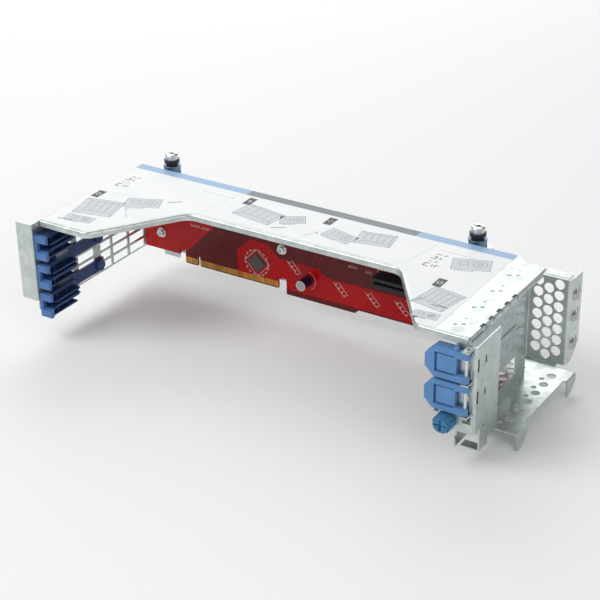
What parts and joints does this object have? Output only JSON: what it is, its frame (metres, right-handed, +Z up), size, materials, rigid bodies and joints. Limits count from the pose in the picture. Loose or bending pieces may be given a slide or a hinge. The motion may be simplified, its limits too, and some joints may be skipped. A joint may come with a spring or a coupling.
{
  "type": "riser cage bracket",
  "caption": "Folded sheet cage that carries a riser board on its side, with card guides at one end and card bracket slots, latches and captive screws at the other.",
  "frame": {"origin": "axis of the left captive screw at the underside of its tab, where it seats on the chassis", "axes": "+X along the cage from the card guides to the card brackets, +Y back through the riser board and rear wall, +Z up out of the top plate"},
  "size_m": [0.3762, 0.1494, 0.1018],
  "materials": {
    "galvanised_steel": "spangled satin",
    "label_film": "printed film",
    "bright_steel": "zinc plated",
    "blank_steel": "satin",
    "latch_blue": "moulded satin",
    "knob_blue": "moulded satin",
    "guide_blue": "moulded satin",
    "board_red": "solder mask",
    "contact_gold": "gold plated",
    "socket_black": "moulded",
    "chip_grey": "moulded",
    "can_sleeve": "sleeved can",
    "collar_zinc": "blue zinc",
    "spring_steel": "drawn wire",
    "cup_black": "moulded"
  },
  "bodies": {
    "cage": {"cage_shell": "galvanised_steel", "top_label": "label_film", "io_bracket": "galvanised_steel", "floor_panel": "galvanised_steel", "floor_rivets": "bright_steel", "slot_blank_1": "blank_steel", "slot_blank_2": "blank_steel", "latch_rod": "bright_steel", "retainer_plate": "galvanised_steel", "clinch_nut": "bright_steel", "card_guide_1": "guide_blue", "card_guide_2": "guide_blue", "card_guide_3": "guide_blue", "riser_board": "board_red", "edge_contacts": "contact_gold", "board_standoffs": "bright_steel", "board_screws": "bright_steel", "socket_1": "socket_black", "socket_2": "socket_black", "bridge_chip": "chip_grey", "board_passives": "chip_grey", "capacitor": "can_sleeve", "left_collar": "collar_zinc", "left_spring": "spring_steel", "right_collar": "collar_zinc", "right_spring": "spring_steel", "contact_springs": "spring_steel"},
    "latch_1": {"latch_1": "latch_blue"},
    "latch_2": {"latch_2": "latch_blue"},
    "left_cup": {"left_cup": "cup_black"},
    "left_screw": {"left_screw": "bright_steel"},
    "right_cup": {"right_cup": "cup_black"},
    "right_screw": {"right_screw": "bright_steel"},
    "thumbscrew": {"thumbscrew_knob": "knob_blue", "thumbscrew_shank": "bright_steel"}
  },
  "joints": [
    {"name": "latch_1_swing", "type": "hinge", "parent": "cage", "child": "latch_1", "pos_m": [0.3189, -0.1336, -0.0112], "axis": [0, 0, 1], "range_deg": [0, 100]},
    {"name": "latch_2_swing", "type": "hinge", "parent": "cage", "child": "latch_2", "pos_m": [0.3189, -0.1336, -0.03406], "axis": [0, 0, 1], "range_deg": [0, 100]},
    {"name": "left_press", "type": "slide", "parent": "cage", "child": "left_cup", "axis": [0, 0, -1], "range_m": [0, 0.002], "stiffness_N_per_m": 1200, "deforming": ["left_spring"]},
    {"name": "left_screw_spin", "type": "hinge", "parent": "left_cup", "child": "left_screw", "pos_m": [0, 0, 0.007], "axis": [0, 0, 1], "continuous": true},
    {"name": "right_press", "type": "slide", "parent": "cage", "child": "right_cup", "axis": [0, 0, -1], "range_m": [0, 0.002], "stiffness_N_per_m": 1200, "deforming": ["right_spring"]},
    {"name": "right_screw_spin", "type": "hinge", "parent": "right_cup", "child": "right_screw", "pos_m": [0.259, 0, 0.007], "axis": [0, 0, 1], "continuous": true},
    {"name": "thumbscrew_spin", "type": "hinge", "parent": "cage", "child": "thumbscrew", "pos_m": [0.3055, -0.13, -0.05302], "axis": [0, -1, 0], "continuous": true}
  ]
}
